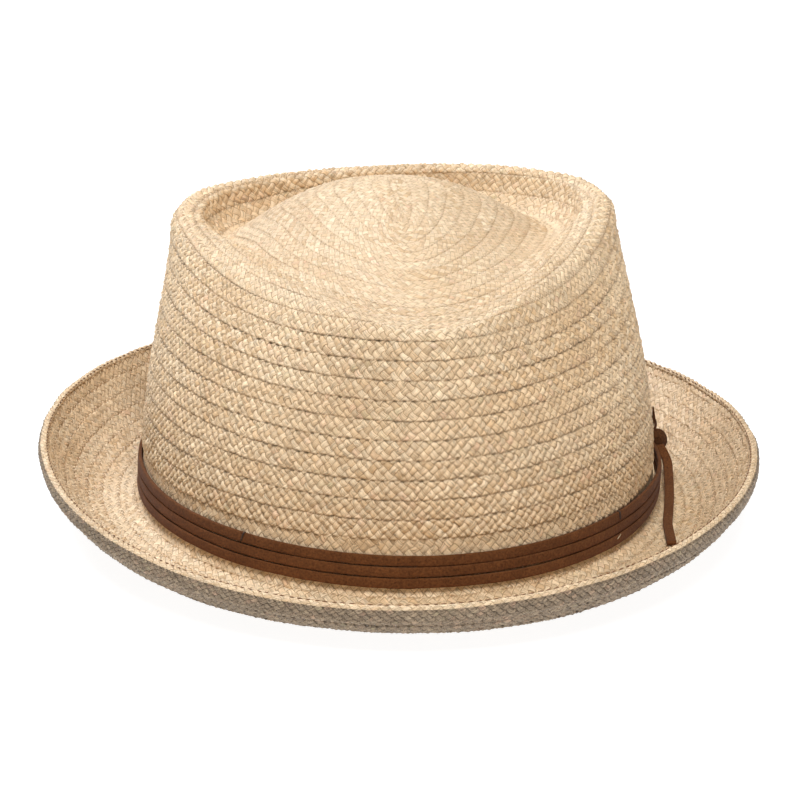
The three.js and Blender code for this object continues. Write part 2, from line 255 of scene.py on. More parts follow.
# %% The crown's top as a height over the plan
HOLLOW_STEPS = 40
RISE_STEPS = 80
DOME_STEPS = 160
CENTRE = np.array([0, DOME_BACK])
hollow = bend(inner, side, valley, np.linspace(0, 1, HOLLOW_STEPS))
rise_shares = np.linspace(0, 1, RISE_STEPS)[None, :]
dome_flat = valley[:, None, :2] + (CENTRE - valley[:, None, :2]) * rise_shares[..., None]
rise = 1 - (1 - rise_shares ** soft[:, None]) ** DOME_FALL
dome_z = valley[:, 2:] + (DOME_HEIGHT - valley[:, 2:]) * rise
dome = np.concatenate([dome_flat, dome_z[..., None]], -1)
inside_line = np.concatenate([hollow, dome[:, 1:]], 1)


def by_row(wanted, known, values):
    """Linear interpolation of each row by itself, in one call: every row's numbers are lifted by
    a step of their own, so that all the rows make one rising line."""
    lift = (np.arange(len(known)) * (known.max() - known.min() + 1000))[:, None]
    flat = np.interp((wanted + lift).ravel(), (known + lift).ravel(), values.ravel())
    return flat.reshape(wanted.shape)


def line_at(wanted, known, line):
    """The points of each row's line where a measure known along it has the wanted values."""
    return np.stack([by_row(wanted, known, line[..., k]) for k in range(3)], -1)


reach = np.linalg.norm(inside_line[:, :, :2] - inside_line[:, :1, :2], axis=-1)
reach = reach / reach[:, -1:]
dome_shares = np.tile(np.linspace(0, 1, DOME_STEPS), (len(TURNS), 1))
dome_table = by_row(dome_shares, reach, inside_line[:, :, 2])
inner_angle = np.unwrap(np.arctan2(inner[:, 0], DOME_BACK - inner[:, 1]))


def weighed(table, i, j):
    """A closed table read between its entries: the four nearest ones, weighed by how near they
    are. i is the place round the table, j the place along its rows."""
    i0 = np.floor(i).astype(int) % len(table)
    j0 = np.minimum(j.astype(int), table.shape[1] - 2)
    i1 = (i0 + 1) % len(table)
    fi, fj = i - np.floor(i), j - j0
    if table.ndim > 2:
        fi, fj = fi[..., None], fj[..., None]
    low = table[i0, j0] * (1 - fj) + table[i0, j0 + 1] * fj
    high = table[i1, j0] * (1 - fj) + table[i1, j0 + 1] * fj
    return low * (1 - fi) + high * fi


def height_inside(places):
    """The crown's height over places in plan inside the ridge: the place's angle about the dome's
    middle picks a section, and its share of the way in picks the height on it."""
    angle = np.arctan2(places[..., 0], DOME_BACK - places[..., 1])
    angle = np.mod(angle - inner_angle[0], 2 * np.pi) + inner_angle[0]
    around = np.append(inner_angle, inner_angle[0] + 2 * np.pi)
    sections = np.arange(len(TURNS) + 1)
    i = np.interp(angle, around, sections)
    whole = np.linalg.norm(read_at(i, sections, closed(inner[:, :2])) - CENTRE, axis=-1)
    share = 1 - np.linalg.norm(places - CENTRE, axis=-1) / whole
    return weighed(dome_table, i, np.clip(share, 0, 1) * (DOME_STEPS - 1))


START_MIDDLE = 11
START_HALF = 16
TOP_STEPS = 160
start_y = START_MIDDLE - START_HALF * np.cos(np.radians(TURNS))
start = np.stack([np.zeros_like(start_y), start_y], -1)
inward_shares = np.linspace(0, 1, TOP_STEPS)[None, :, None]
inward = inner[:, None, :2] + (start - inner[:, :2])[:, None] * inward_shares
top_line = np.concatenate([inward, height_inside(inward)[..., None]], -1)
print("dome height over its middle: %.1f mm" % height_inside(np.array([0.01, DOME_BACK - 0.01])))

# %% [markdown]
# The brim is level for the first quarter of its width and then curves up to the rim, and a soft
# bend joins it to the wall where the laces lie. Put end to end, brim, bend, wall, ridge and top
# make one line for each turn. Each line is then divided into rows of plait, so any place on the
# hat has two numbers: its turn, and its row, counted from the bend: below 0 on the brim, and up to
# 27 in the middle of the top.

# %% One line from the rim to the middle of the top
ROW = 6.2
TOP_ROWS = 27
BRIM_ROWS = 7.4
ROWS_PER_STEP = 0.05
BRIM_STEPS = 90
FILLET_STEPS = 24
WALL_STEPS = 160
ROLL_STEPS = 40

# The rim is an oval that lies higher at the sides and is a little twisted.
angle = np.radians(TURNS)
rim_x = (CROWN_WIDTH / 2 + BRIM_SIDE) * np.sin(angle)
rim_y = -(CROWN_LENGTH / 2 + BRIM_FRONT) * np.cos(angle)
rim_z = RIM_LIFT - RIM_SIDE_LIFT * np.cos(2 * angle) + RIM_TWIST * np.sin(2 * angle)
rim = np.stack([rim_x, rim_y, rim_z], -1)
out_shares = np.linspace(1, 0, BRIM_STEPS)[None, :, None]
brim_flat = foot[:, None, :2] + (rim - foot)[:, None, :2] * out_shares
curl = np.maximum(0, (out_shares - LEVEL_BRIM) / (1 - LEVEL_BRIM)) ** 2
under_z = (rim[:, None, 2:] - STRAW_WALL / 2) * curl
brim_under = np.concatenate([brim_flat, under_z], -1)
along = np.gradient(brim_under, axis=1)
round_way = np.roll(brim_under, -1, 0) - np.roll(brim_under, 1, 0)
brim_up = unit(np.cross(along, round_way))
brim_up *= np.sign(brim_up[..., 2:])
brim_line = brim_under + brim_up * STRAW_WALL
away = np.linalg.norm(brim_line[:, :, :2] - foot[:, None, :2], axis=-1)
wall_line = bend(foot, knee, top, np.linspace(0, 1, WALL_STEPS))
roll_line = bend(top, ridge, inner, np.linspace(0, 1, ROLL_STEPS))

level_line = np.zeros(len(TURNS))
bend_start = line_at((level_line + FILLET)[:, None], away[:, ::-1], brim_line[:, ::-1])[:, 0]
wall_z = wall_line[..., 2]
fillet_z = (level_line + STRAW_WALL + FILLET)[:, None]
bend_end = line_at(fillet_z, wall_z, wall_line)[:, 0]
corner = foot + np.array([0, 0, STRAW_WALL])
fillet_line = bend(bend_start, corner, bend_end, np.linspace(0, 1, FILLET_STEPS))


def resampled(line, low, high, measure, count):
    """A line's points at even steps of a measure, from low to high in each row."""
    wanted = low[:, None] + (high - low)[:, None] * np.linspace(0, 1, count)[None, :]
    return line_at(wanted, measure, line)


brim_part = resampled(brim_line[:, ::-1], away[:, 0], level_line + FILLET, away[:, ::-1], BRIM_STEPS)
wall_part = resampled(wall_line, fillet_z[:, 0], wall_z[:, -1], wall_z, WALL_STEPS)
stretches = [brim_part, fillet_line[:, 1:-1], wall_part, roll_line[:, 1:], top_line[:, 1:]]
master = np.concatenate(stretches, 1)
arc = np.array([length_along(line) for line in master])
at_bend = arc[:, BRIM_STEPS + FILLET_STEPS // 2 - 1]
at_ridge = arc[:, BRIM_STEPS + FILLET_STEPS - 2 + WALL_STEPS + ROLL_STEPS // 2 - 1]
at_end = arc[:, -1]
wall_rows = (at_ridge - at_bend) / ROW
knots = np.stack([level_line, at_bend, at_ridge, at_end], 1)
rows_there = np.stack([level_line - BRIM_ROWS, level_line, wall_rows, level_line + TOP_ROWS], 1)
row_of = by_row(arc, knots, rows_there)
ROW_LINES = np.arange(-BRIM_ROWS, TOP_ROWS + 1e-6, ROWS_PER_STEP)
wanted_rows = np.tile(ROW_LINES, (len(TURNS), 1))
surface = line_at(wanted_rows, row_of, master)
up_rows = np.gradient(surface, axis=1)
round_turns = np.roll(surface, -1, 0) - np.roll(surface, 1, 0)
outwards = unit(np.cross(round_turns, up_rows))
outwards[:, -3:] = outwards[:, -4:-3]
top_width = (at_end - at_ridge) / (TOP_ROWS - wall_rows)
print("rows up the wall: %.1f in front, %.1f behind" % (wall_rows[0], wall_rows[len(TURNS) // 2]))
print("row width on the top: %.1f to %.1f mm" % (top_width.min(), top_width.max()))


def on_hat(turn, row):
    """The place and the outward direction on the hat's outside at any turns and rows."""
    i = np.mod(turn, 360) / TURN_STEP
    j = np.clip((row + BRIM_ROWS) / ROWS_PER_STEP, 0, len(ROW_LINES) - 1.001)
    return weighed(surface, i, j), unit(weighed(outwards, i, j))


# The spiral's row rises by one each time round, from the back of the hat.
LAST_ROW = TOP_ROWS + 0.45
FIRST_ROW = -BRIM_ROWS - 0.5
STEPS_A_ROUND = 720
SPIRAL_ROWS = np.linspace(FIRST_ROW, LAST_ROW, int((LAST_ROW - FIRST_ROW) * STEPS_A_ROUND) + 1)
SPIRAL_LENGTH = length_along(on_hat(180 + 360 * SPIRAL_ROWS, SPIRAL_ROWS)[0])
print("plait in the whole hat: %.1f m" % (SPIRAL_LENGTH[-1] * MM))

# %% [markdown]
# The straw's colour: each strand is one leaf, so it has one tone of its own, pale cream to light
# tan, with a few pink or green ones, fine fibres along it, and shade painted in at its edges where
# it dives under its neighbour. An image texture of a weave would repeat and blur. Nodes read the
# plait's own map instead: its two coordinates are millimetres along and across the plait, so the
# strands' lines, which run at 45 degrees, are simple sums and differences of them. The hat was
# pressed over a block, which settled the plait on its top, so the tones and the painted crease
# shade are calmer from a certain length on. A small dark spot of painted shade stands for the
# needle hole at each crossing along the seams.

# %% Straw material
CELL = 3.1
WIDE = 2 * CELL
STRANDS = 4
SETTLING = np.interp([15.0, 18.5], SPIRAL_ROWS, SPIRAL_LENGTH).tolist()
SETTLED = 0.68
NEEDLE_HOLE_REACH = 0.6
NEEDLE_HOLE_SHADE = 0.75
OVER = 0.5
EDGE_FALL = 0.85
UNEVEN = 0.17


class Nodes:
    """A short way to write a node tree: each call adds a node and links its inputs."""

    def __init__(self, name):
        self.material = bpy.data.materials.new(name)
        self.material.use_nodes = True
        self.tree = self.material.node_tree
        self.tree.nodes.clear()

    def add(self, kind, inputs=(), output=0, **settings):
        """A node of that kind with its settings; inputs are values or other nodes' outputs."""
        node = self.tree.nodes.new(kind)
        for key, value in settings.items():
            setattr(node, key, value)
        for key, value in dict(inputs).items():
            socket = node.inputs[key]
            if isinstance(value, bpy.types.NodeSocket):
                self.tree.links.new(value, socket)
            else:
                socket.default_value = value
        return node.outputs[output]

    def maths(self, operation, a, b=0.0):
        """One sum, of numbers or of other nodes' outputs."""
        return self.add("ShaderNodeMath", [(0, a), (1, b)], operation=operation)

    def mix(self, share, a, b):
        """Two colours mixed by a share."""
        return self.add("ShaderNodeMix", [(0, share), (6, a), (7, b)], output=2, data_type="RGBA")

    def between(self, share, low, high):
        """A number from low to high."""
        return self.add("ShaderNodeMapRange", [(0, share), (3, low), (4, high)])

    def join(self, x, y, z=0.0):
        """Three numbers as one vector."""
        return self.add("ShaderNodeCombineXYZ", [(0, x), (1, y), (2, z)])

    def principled(self, colour, roughness, more=()):
        """The finished material: its colour, its roughness and any other settings."""
        inputs = [("Base Color", colour), ("Roughness", roughness), *more]
        shader = self.add("ShaderNodeBsdfPrincipled", inputs)
        end = self.tree.nodes.new("ShaderNodeOutputMaterial")
        self.tree.links.new(shader, end.inputs["Surface"])
        return self.material

    def noise(self, vector, scale, detail=2.0, roughness=0.5):
        """Cloudy noise from 0 to 1."""
        settings = zip(("Vector", "Scale", "Detail", "Roughness"), (vector, scale, detail, roughness))
        return self.add("ShaderNodeTexNoise", settings)


def straw_material(name, light, dark, crease_shade_colour, relief, contrast=1.0):
    """Plaited straw. Strands run along (u+v) and (u-v): the nearest whole numbers of both over the
    cell say which crossing a place is in, and whether their sum is even says which strand is over
    the other. Tone is set for each strand, fibres are noise stretched along it, and shade is painted
    into the colour at the crease, where both strands are equally high."""
    n = Nodes(name)
    add, less = lambda p, q: n.maths("ADD", p, q), lambda p, q: n.maths("SUBTRACT", p, q)
    times = lambda p, q: n.maths("MULTIPLY", p, q)
    size = lambda p: n.maths("ABSOLUTE", p)
    positive = lambda p: n.maths("MAXIMUM", p, 0.0)
    uv = n.add("ShaderNodeUVMap", uv_map="plait")
    parts = n.add("ShaderNodeSeparateXYZ", [(0, uv)])
    u, v = parts, parts.node.outputs[1]
    a = n.maths("DIVIDE", add(u, v), CELL)
    b = n.maths("DIVIDE", less(u, v), CELL)
    i, j = n.maths("ROUND", a), n.maths("ROUND", b)
    odd = n.maths("GREATER_THAN", n.maths("FRACT", times(add(i, j), 0.5)), 0.25)
    sign = less(1.0, times(odd, 2.0))
    x, y = less(b, j), less(a, i)

    def strand_height(over, beside, way):
        arch = times(n.maths("COSINE", times(beside, math.pi)), sign)
        fall = n.maths("POWER", times(size(over), 2.0), 3.0)
        return less(times(arch, way * OVER), times(fall, EDGE_FALL))

    gap = less(strand_height(x, y, 1), strand_height(y, x, -1))
    second = n.maths("LESS_THAN", gap, 0.0)
    pick = lambda first, other: n.add("ShaderNodeMix", [(0, second), (2, first), (3, other)])
    across, strand, length = pick(x, y), pick(j, i), pick(a, b)
    crease = positive(less(1.0, times(size(gap), 3.4)))

    def cloudy(first, second_place, third, scale, detail, roughness=0.5):
        return n.noise(n.join(first, second_place, third), scale, detail, roughness)

    leaf = n.maths("FLOORED_MODULO", strand, float(STRANDS))
    tone = cloudy(times(u, 0.02), times(leaf, 7.3), times(length, 0.05), 1.0, 3.0)
    pad = cloudy(times(length, 0.55), times(strand, 5.7), 2.1, 1.0, 1.0)
    tint = cloudy(times(length, 0.3), times(strand, 3.1), 9.0, 1.0, 1.0)
    fibre = cloudy(times(across, 7.0), times(length, 0.5), times(strand, 3.7), 1.7, 3.0, 0.6)
    split = cloudy(times(across, 3.0), times(length, 0.25), times(strand, 8.3), 1.0, 0.0)
    cloud = n.noise(n.add("ShaderNodeTexCoord", output=3), 30.0, 2.0)
    line = positive(less(1.0, times(size(less(split, 0.5)), 22.0)))
    base = n.mix(n.between(tone, -0.6, 1.7), light, dark)
    base = n.mix(times(positive(less(tint, 0.60)), 2.2), base, (0.78, 0.46, 0.30, 1))
    base = n.mix(times(positive(less(0.36, tint)), 2.0), base, (0.56, 0.50, 0.27, 1))
    around_one = lambda noise, low, high: n.between(noise, 1 - low * contrast, 1 + high * contrast)
    shade = times(around_one(fibre, 0.48, 0.44), n.between(cloud, 0.92, 1.08))
    shade = times(shade, around_one(pad, 0.26, 0.24))
    shade = times(shade, less(1.0, times(line, 0.40)))
    limits = [(0, u), (1, SETTLING[0]), (2, SETTLING[1]), (3, 1.0), (4, SETTLED)]
    settled = n.add("ShaderNodeMapRange", limits)
    shade = add(1.0, times(less(shade, 1.0), settled))
    mixed = [(0, 1.0), (6, base), (7, shade)]
    shaded = n.add("ShaderNodeMix", mixed, output=2, data_type="RGBA", blend_type="MULTIPLY")
    # Painted shade: the crease colour darkens the creases, less on the settled top.
    colour = n.mix(times(times(crease, settled), 0.95), shaded, crease_shade_colour)
    # Painted shade: a dark spot at each crossing along the seams, for the shade in the needle holes.
    to_seam = n.maths("MINIMUM", size(v), size(less(WIDE, v)))
    by_crossing = positive(n.maths("COSINE", times(u, 2 * math.pi / CELL)))
    needle_hole_shade = times(positive(less(1.0, times(to_seam, 1 / NEEDLE_HOLE_REACH))), by_crossing)
    colour = n.mix(times(needle_hole_shade, NEEDLE_HOLE_SHADE), colour, crease_shade_colour)
    height = less(less(times(fibre, 0.45), times(line, 0.5)), times(crease, 0.5))
    bump = n.add("ShaderNodeBump", [("Strength", relief), ("Distance", 0.0005), ("Height", height)])
    rough = n.between(fibre, 0.42, 0.60)
    return n.principled(colour, rough, [("Normal", bump), ("Specular IOR Level", 0.4)])


# The crease colour is painted shade, for the shade between crossing strands.
CREASE_SHADE = (0.27, 0.135, 0.048, 1)
straw = straw_material("straw_plait", (0.88, 0.69, 0.46, 1), (0.65, 0.435, 0.235, 1), CREASE_SHADE, 0.65)
# The underside and the inside get a darker copy of the straw, with a darker crease: painted shade,
# for the shade they lie in.
SHADED_UNDER = (0.42, 0.315, 0.205, 1), (0.30, 0.21, 0.13, 1), (0.05, 0.03, 0.014, 1)
straw_under_shaded = straw_material("straw_underside_shaded", *SHADED_UNDER, 0.9, 1.9)
print("straw materials:", straw.name, straw_under_shaded.name)

# %% [markdown]
# The plait itself. It could be a bump pattern on a smooth hat, but then the outline stays smooth
# and the strands cast no shadows. Single woven ribbons would cost many millions of faces. So the
# plait is one long strip of mesh that follows the spiral, with its strands' heights worked out at
# each vertex: a strand is a low arch across its width and rises and dives along its length, and
# the higher of two crossing strands is the one that shows. The strip's steps are a whole share
# of a crossing, so creases fall on mesh edges.

# %% The plait's height and the spiral strip

def weave(u, v):
    """The height of a plain weave at 45 degrees: strand A keeps b = (u-v)/cell and strand B keeps
    a = (u+v)/cell. Along its length each is a cosine that is highest where it is over, across its
    width it falls off with the cube of the distance from its middle, and the higher one shows."""
    heights = []
    for nudge in (-1e-3, 1e-3):
        a, b = (u + nudge + v) / CELL, (u + nudge - v) / CELL
        i, j = np.round(a), np.round(b)
        sign = 1 - 2 * np.mod(i + j, 2)
        x, y = b - j, a - i
        strand_a = OVER * sign * np.cos(np.pi * y) - EDGE_FALL * np.abs(2 * x) ** 3
        strand_b = -OVER * sign * np.cos(np.pi * x) - EDGE_FALL * np.abs(2 * y) ** 3
        heights.append(np.maximum(strand_a, strand_b))
    uneven = np.mod(np.sin(i * 12.99 + j * 78.23) * 43758.5, 1) - 0.5
    return np.maximum(*heights) + UNEVEN * uneven


def waves(u, v, seed, count, shortest, longest):
    """Smooth unevenness between about -1 and 1: the mean of a few sine waves with drawn
    directions, lengths and starts."""
    rng = np.random.default_rng(seed)
    total = 0
    for _ in range(count):
        length = rng.uniform(shortest, longest)
        way = rng.uniform(0, 2 * np.pi)
        place = u * np.cos(way) + v * np.sin(way)
        total = total + np.sin(2 * np.pi * place / length + rng.uniform(0, 6.28))
    return total / math.sqrt(count)


def make_mesh(name, points, faces, material, node):
    """A smooth mesh object from arrays in millimetres, with its place in its mesh. It rides on the
    hat's one body, and stands for a node of the plain model."""
    mesh = bpy.data.meshes.new(name)
    mesh.vertices.add(len(points))
    mesh.vertices.foreach_set("co", (np.asarray(points, np.float32) * MM).ravel())
    sides = faces.shape[1]
    mesh.loops.add(faces.size)
    mesh.loops.foreach_set("vertex_index", faces.ravel().astype(np.int32))
    mesh.polygons.add(len(faces))
    mesh.polygons.foreach_set("loop_start", np.arange(0, faces.size, sides, dtype=np.int32))
    mesh.polygons.foreach_set("loop_total", np.full(len(faces), sides, np.int32))
    mesh.polygons.foreach_set("use_smooth", np.full(len(faces), True))
    mesh.update(calc_edges=True)
    mesh.materials.append(material)
    obj = bpy.data.objects.new(name, mesh)
    bpy.context.collection.objects.link(obj)
    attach(obj, "root")
    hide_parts(node)
    return obj


def add_map(obj, name, corners):
    """A UV map from one (u, v) for each face corner."""
    layer = obj.data.uv_layers.new(name=name)
    layer.data.foreach_set("uv", np.asarray(corners, np.float32).ravel())


FOLD_ROW = 0.25 - BRIM_ROWS
TUCK = 0.5
LOWER_LIP = 0.12
UPPER_DROP = 0.7
PROFILE_ROWS = [-7.4, -6.8, -6.2, -5.4, -4.2, -2.5, 0.2, 0.9, 2.1, 2.7, 13, 15.5, 17.3, 18.6, 27]
RELIEF = [0.8] * 6 + [0.6, 0.3, 0.3, 1.25, 1.25, 1.15, 0.9, 0.45, 0.4]
SHINGLE = [0.1] * 7 + [0, 0, 0.12, 0.12, 0.1, 0.06, 0.02, 0.01]
EDGE_DROP = [0.42] * 6 + [0.4, 0.4, 0.44, 0.44, 0.43, 0.43, 0.45, 0.45, 0.45]
SINK = [0] * 7 + [0.5, 0.5] + [0] * 6
UNDER_BULGE = [-0.3, 0.4, 0.9, 1.3, 0.8] + [0] * 10
CALM_FROM = 13.2
CALM_RELIEF = 0.42
SEAM_FLOOR = -0.25
FIELD_FLOOR = -0.38
HOLE_DEPTH = 0.3
FINE_WAVES = 0.08
BROAD_WAVES = 0.15
SCALLOP = 0.06
WANDER_ALONG = 0.26
WANDER_ACROSS = 0.24
QUIET = [0] * 9 + [0.35, 0.35, 0.4, 0.6, 1, 1]


def lane_map(count, lanes, shares, corners):
    """A map with a place of its own for each face, for baking: the strip's columns are cut into
    lanes that lie one over the other. shares say how far across each line of the strip lies, and
    each corner of a face is named by its column and its line."""
    columns = math.ceil(count / lanes)
    column = np.arange(count)[:, None]
    lane = column // columns
    x = lambda c: (column - lane * columns + c) / columns * 0.998 + 0.001
    y = lambda k: (lane + 0.04 + 0.92 * shares[None, k : len(shares) - 1 + k]) / lanes
    return np.stack([np.stack(np.broadcast_arrays(x(c), y(k)), -1) for c, k in corners], 2)


def sewn(u, v, rows, side, seed):
    """How the plait lies on the hat: its height over the surface, and its places along and across
    after both have wandered. The height is the weave's, with a tilt that lifts the row's lower edge
    over the next row, a drop at both seams and slow waves. Near the seams of the ridge and the top
    all of this is calmer, with small holes left between the crossings."""
    at = lambda profile: np.interp(rows, PROFILE_ROWS, profile)
    inside = np.clip(v, 0, WIDE)
    to_seam = np.minimum(inside, WIDE - inside)
    across = inside / WIDE - 0.5
    calm = np.clip((rows - CALM_FROM) / 0.6, 0, 1) * (0.5 + 0.5 * np.cos(2 * np.pi * (rows + 0.5)))
    quiet = np.clip(at(QUIET) + calm, 0, 1)
    loose = 1 - 0.8 * quiet
    flush = quiet * np.clip(1 - to_seam / 0.8, 0, 1)
    relief = at(RELIEF) * (1 - calm) + np.minimum(at(RELIEF), CALM_RELIEF) * calm
    relief = relief if side > 0 else 1.2 * relief
    height = weave(u, inside) * relief
    height = np.maximum(height, np.where(to_seam < 0.6, SEAM_FLOOR, FIELD_FLOOR) * relief)
    between_crossings = 0.5 - 0.5 * np.cos(2 * np.pi * u / CELL)
    holes = np.clip(waves(u * 0.2, rows * 5, 61, 5, 4, 14), 0, 1) * between_crossings**5
    height = height * (1 - flush) - HOLE_DEPTH * flush * holes
    height = height + FINE_WAVES * waves(u, v, seed + 2, 6, 3, 7) * relief
    seam = 0.75 + 0.35 * waves(u * 0.12, rows * 7, 70, 5, 3, 12)
    height = height - at(SHINGLE) * (1 - 0.9 * calm) * seam * across
    exact_rows = rows + inside / WIDE - 0.5
    height = height + (np.interp(exact_rows, PROFILE_ROWS, UNDER_BULGE) if side < 0 else -at(SINK))
    height = height - np.where(v < 0, at(EDGE_DROP), 0) * loose
    height = height - np.where(v > WIDE, UPPER_DROP, 0) * loose
    height = height + BROAD_WAVES * waves(u * 0.3, rows * 9, 90, 6, 6, 30) * loose
    scallop = SCALLOP * np.cos(2 * np.pi * u / CELL) * (np.abs(across) > 0.49) * np.sign(across)
    moved_u = u + WANDER_ALONG * waves(u, v, seed, 6, 4, 13)
    moved_v = v + (WANDER_ACROSS * waves(u, v, seed + 1, 6, 4, 13) + scallop) * (1 - flush)
    return height, moved_u, moved_v


def strip(name, node, first, last, parts, material, side=1, seed=1):
    """A stretch of the sewn plait from one row to another, as a strip of mesh. Its columns are
    CELL/parts apart along the spiral, and its lines CELL/parts apart across. Each vertex is the
    hat's surface at its turn and row, moved out by the plait's height. side -1 is the inner face.
    Each face is turned so that it splits along its lower diagonal, where the creases run."""
    step = CELL / parts
    begin, end = (int(np.interp(r, SPIRAL_ROWS, SPIRAL_LENGTH) / CELL) * CELL for r in (first, last))
    u = begin + (np.arange(int(round((end - begin) / step)) + 1) * step)[:, None]
    v = np.arange(int(round(WIDE / step)) + 1) * step
    v = np.concatenate([[-LOWER_LIP], v, [WIDE + TUCK]])[None, :]
    rows = np.interp(u, SPIRAL_LENGTH, SPIRAL_ROWS)
    height, moved_u, moved_v = sewn(u, v, rows, side, seed)
    row = np.clip(rows + (moved_v / WIDE - 0.5), -BRIM_ROWS, TOP_ROWS)
    place, out = on_hat(180 + 360 * np.interp(moved_u, SPIRAL_LENGTH, SPIRAL_ROWS), row)
    points = place + out * (height if side > 0 else -STRAW_WALL - height)[..., None]
    index = np.arange(height.size).reshape(height.shape)
    quads = np.stack([index[:-1, :-1], index[1:, :-1], index[1:, 1:], index[:-1, 1:]], -1)
    lane_length = math.sqrt((end - begin) * (WIDE + TUCK) * 1.1)
    lanes = max(1, math.ceil((end - begin) / lane_length))
    shares = (v[0] - v[0, 0]) / (v[0, -1] - v[0, 0])
    bake = lane_map(len(u) - 1, lanes, shares, [(0, 0), (1, 0), (1, 1), (0, 1)])
    other_way = height[:-1, :-1] + height[1:, 1:] > height[1:, :-1] + height[:-1, 1:]
    quads = np.where(other_way[..., None], np.roll(quads, -1, -1), quads)
    bake = np.where(other_way[..., None, None], np.roll(bake, -1, 2), bake)
    if side < 0:
        quads, bake = quads[..., ::-1], bake[:, :, ::-1]
    middle = 0.5 * (row[:-1, :-1] + row[1:, 1:])
    keep = (middle > FOLD_ROW) & (middle < TOP_ROWS - 1e-4)
    used, renumbered = np.unique(quads[keep], return_inverse=True)
    quads = renumbered.reshape(-1, 4)
    obj = make_mesh(name, points.reshape(-1, 3)[used], quads, material, node)
    add_map(obj, "plait", np.stack(np.broadcast_arrays(u, v), -1).reshape(-1, 2)[used][quads])
    add_map(obj, "OFBake", bake[keep])
    print(name, "%.2f m of plait," % ((end - begin) * MM), 2 * len(quads), "triangles")


# %% [markdown]
# The crown's outside is sewn from rows 0 to 27. It is split into a few pieces, only to keep each
# one small. Strips that face the viewer get six steps to a crossing, the top and the rows behind
# the laces four, and the inside two, because only the hat's mouth shows it.

# %% Crown
BEND_ROW = -0.7
strip("crown_plait_foot", "crown", BEND_ROW, 3.0, 4, straw)
strip("crown_plait_low", "crown", 3.0, 8.0, 6, straw)
strip("crown_plait_high", "crown", 8.0, 13.3, 6, straw)
strip("crown_plait_ridge", "crown", 13.3, 17.5, 6, straw)
strip("crown_plait_top", "crown", 17.5, LAST_ROW, 4, straw)
# The inside takes the darker copy of the straw, as painted shade.
strip("crown_inside", "crown", BEND_ROW, LAST_ROW, 2, straw_under_shaded, side=-1)

# %% [markdown]
# The brim carries on the same spiral. Its top face shows the plait's right side, its underside the
# back of the same rows, in a darker copy of the straw: painted shade for the shade under the brim.
# The edge row is the plait folded over the rim and sewn through: a rounded section swept once
# round, with the same weave laid over it. On the real hat its strands end in a row of small notches
# along the inner seam, so that seam has a lip with a dip for each crossing.

# %% Brim
strip("brim_plait", "brim", FIRST_ROW, BEND_ROW, 4, straw)
strip("brim_underside", "brim", FIRST_ROW, BEND_ROW, 4, straw_under_shaded, side=-1)


PATH_STEPS = 40


def smooth_path(bends, count):
    """A smooth curve through a few points: for each stretch a cubic whose slopes at both ends
    point from the stretch's neighbour before to its neighbour after. The answer has count points
    at even lengths."""
    p = np.asarray(bends, float)
    p = np.concatenate([[2 * p[0] - p[1]], p, [2 * p[-1] - p[-2]]])
    f = np.linspace(0, 1, PATH_STEPS, endpoint=False)[:, None]
    a, b, c, d = (p[k : len(p) - 3 + k, None] for k in range(4))
    curve = through(a, b, c, d, f)
    curve = np.concatenate([curve.reshape(-1, p.shape[1]), p[-2:-1]])
    length = length_along(curve)
    return read_at(np.linspace(0, length[-1], count), length, curve), length[-1]


FOLD_SECTION = [
    (-1.95, 0.9), (-1.8, 1.4), (-1.15, 1.6), (-0.5, 1.35), (-0.1, 0.75), (-0.05, 0.0),
    (-0.5, -0.95), (-1.7, -1.8), (-3.4, -2.4), (-5.0, -2.6), (-5.75, -1.9), (-5.9, -0.6), (-5.9, 0.3),
]
FOLD_TURN = 0.25
FOLD_CELLS = 6
FOLD_SHEAR = 0.27
FOLD_LANES = 8


def rim_frame(step):
    """Turns at even steps, and there the rim's place, its upward and its outward direction."""
    turn = np.arange(0, 360, step)
    edge, up = on_hat(turn, np.full(len(turn), -BRIM_ROWS))
    nearer, _ = on_hat(turn, np.full(len(turn), 0.3 - BRIM_ROWS))
    return turn, edge, up, unit(edge - nearer)


